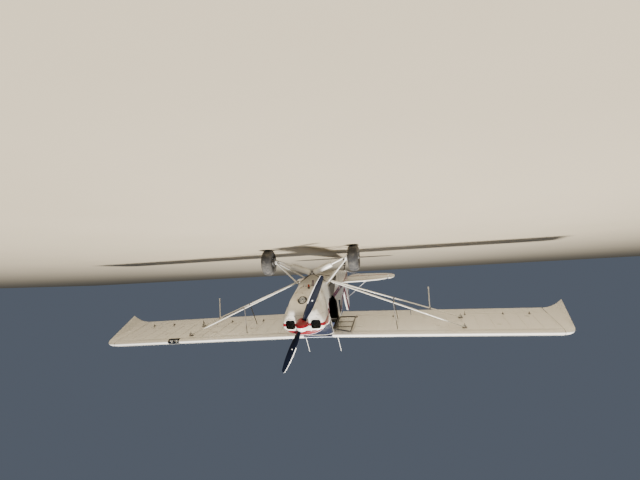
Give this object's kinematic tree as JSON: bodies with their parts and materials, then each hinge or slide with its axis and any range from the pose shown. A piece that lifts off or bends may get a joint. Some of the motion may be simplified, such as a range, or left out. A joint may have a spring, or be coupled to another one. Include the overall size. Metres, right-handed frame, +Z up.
{
  "type": "high-wing tailwheel light aircraft",
  "caption": "Strut-braced high-wing light aircraft on tailwheel gear, with hollow glazed cabin, split side door, turning propeller and wheels, and hinged control surfaces.",
  "frame": {"origin": "on the ground, at the middle of the aircraft's length and span, as it stands on its three wheels", "axes": "+X to the aircraft's left along the span, +Y aft, +Z up; the airframe sits nose up by 12.8 degrees about X"},
  "size_m": [10.924, 7.0088, 2.4892],
  "materials": {
    "white_gloss": "gloss cream-white with crimson stripes, over doped fabric and sheet metal",
    "crimson_gloss": "gloss crimson and white in two tones",
    "navy_gloss": "gloss navy, worn on the leading edges",
    "window": "clear acrylic",
    "lamp_glass": "clear lens over a reflector",
    "tyre": "matt rubber, dusty",
    "cast_alloy": "cast and machined",
    "steel": "plated",
    "dark_enamel": "satin black",
    "seat_cloth": "woven seat cloth"
  },
  "bodies": {
    "airframe": {"fuselage": "white_gloss", "windscreen": "window", "window_left": "window", "rear_window_left": "window", "rear_window_right": "window", "wing_left": "white_gloss", "wing_right": "white_gloss", "wing_tip_left": "white_gloss", "wing_tip_right": "white_gloss", "roof": "white_gloss", "skylight": "window", "lift_strut_front_left": "white_gloss", "lift_strut_front_right": "white_gloss", "lift_strut_rear_left": "white_gloss", "lift_strut_rear_right": "white_gloss", "jury_struts_left": "white_gloss", "jury_struts_right": "white_gloss", "gear_leg_left": "white_gloss", "gear_leg_right": "white_gloss", "shock_strut_left": "white_gloss", "shock_strut_right": "white_gloss", "cabane": "dark_enamel", "tail_spring": "dark_enamel", "stabilizer_left": "white_gloss", "stabilizer_right": "white_gloss", "fin": "white_gloss", "tail_wires_lower": "steel", "nose_bowl": "white_gloss", "cowl_top": "white_gloss", "cowl_lower": "white_gloss", "landing_lamp": "lamp_glass", "engine": "cast_alloy", "seat_front": "seat_cloth", "seat_rear": "seat_cloth", "instrument_panel": "dark_enamel", "cabin_floor": "dark_enamel", "antenna_left": "white_gloss", "antenna_right": "white_gloss", "exhaust": "steel"},
    "propeller": {"propeller": "navy_gloss", "spinner": "crimson_gloss"},
    "wheel_left": {"main_tyre_left": "tyre", "main_wheel_left": "cast_alloy"},
    "wheel_right": {"main_tyre_right": "tyre", "main_wheel_right": "cast_alloy"},
    "tail_fork": {"tail_fork": "steel"},
    "tail_wheel": {"tail_wheel": "tyre"},
    "rudder": {"rudder": "white_gloss"},
    "elevators": {"elevator_left": "white_gloss", "elevator_right": "white_gloss"},
    "aileron_left": {"aileron_left": "white_gloss"},
    "aileron_right": {"aileron_right": "white_gloss"},
    "flap_left": {"flap_left": "white_gloss"},
    "flap_right": {"flap_right": "white_gloss"},
    "door_upper": {"door_upper_frame": "white_gloss", "door_upper_glass": "window"},
    "door_lower": {"door_lower": "white_gloss"}
  },
  "joints": [
    {"name": "propeller_spin", "type": "hinge", "parent": "airframe", "child": "propeller", "pos_m": [0, -3.28687, 1.56045], "axis": [0, 0.9751, -0.2215], "continuous": true},
    {"name": "wheel_left_spin", "type": "hinge", "parent": "airframe", "child": "wheel_left", "pos_m": [0.94, -2.25491, 0.28], "axis": [1, 0, 0], "continuous": true},
    {"name": "wheel_right_spin", "type": "hinge", "parent": "airframe", "child": "wheel_right", "pos_m": [-0.94, -2.25491, 0.28], "axis": [1, 0, 0], "continuous": true},
    {"name": "tail_fork_swivel", "type": "hinge", "parent": "airframe", "child": "tail_fork", "pos_m": [0, 2.86526, 0.29323], "axis": [0, 0.2215, 0.9751], "range_deg": [-30, 30]},
    {"name": "tail_wheel_spin", "type": "hinge", "parent": "tail_fork", "child": "tail_wheel", "pos_m": [0, 2.89143, 0.115], "axis": [1, 0, 0], "continuous": true},
    {"name": "rudder_swing", "type": "hinge", "parent": "airframe", "child": "rudder", "pos_m": [0, 3.0206, 0.9273], "axis": [0, 0.2215, 0.9751], "range_deg": [-25, 25]},
    {"name": "elevator_swing", "type": "hinge", "parent": "airframe", "child": "elevators", "pos_m": [0, 2.95941, 0.64894], "axis": [1, 0, 0], "range_deg": [-15, 25]},
    {"name": "aileron_left_swing", "type": "hinge", "parent": "airframe", "child": "aileron_left", "pos_m": [2.045, -0.63079, 1.68483], "axis": [-0.9998, -0.0043, -0.0187], "range_deg": [-18, 18]},
    {"name": "aileron_right_swing", "type": "hinge", "parent": "airframe", "child": "aileron_right", "pos_m": [-2.045, -0.63079, 1.68483], "axis": [-0.9998, 0.0043, 0.0187], "range_deg": [-18, 18]},
    {"name": "flap_left_swing", "type": "hinge", "parent": "airframe", "child": "flap_left", "pos_m": [0.352, -0.63799, 1.65313], "axis": [-0.9998, -0.0043, -0.0187], "range_deg": [0, 50]},
    {"name": "flap_right_swing", "type": "hinge", "parent": "airframe", "child": "flap_right", "pos_m": [-0.352, -0.63799, 1.65313], "axis": [-0.9998, 0.0043, 0.0187], "range_deg": [0, 50]},
    {"name": "door_upper_swing", "type": "hinge", "parent": "airframe", "child": "door_upper", "pos_m": [-0.363, -1.9022, 1.83244], "axis": [0, 0.9751, -0.2215], "range_deg": [-94, 0]},
    {"name": "door_lower_swing", "type": "hinge", "parent": "airframe", "child": "door_lower", "pos_m": [-0.331, -2.06238, 1.1274], "axis": [0, 0.9751, -0.2215], "range_deg": [0, 175]}
  ],
  "couplings": [
    {"joint": "aileron_right_swing", "follows": "aileron_left_swing", "ratio": -1},
    {"joint": "flap_right_swing", "follows": "flap_left_swing", "ratio": 1}
  ]
}
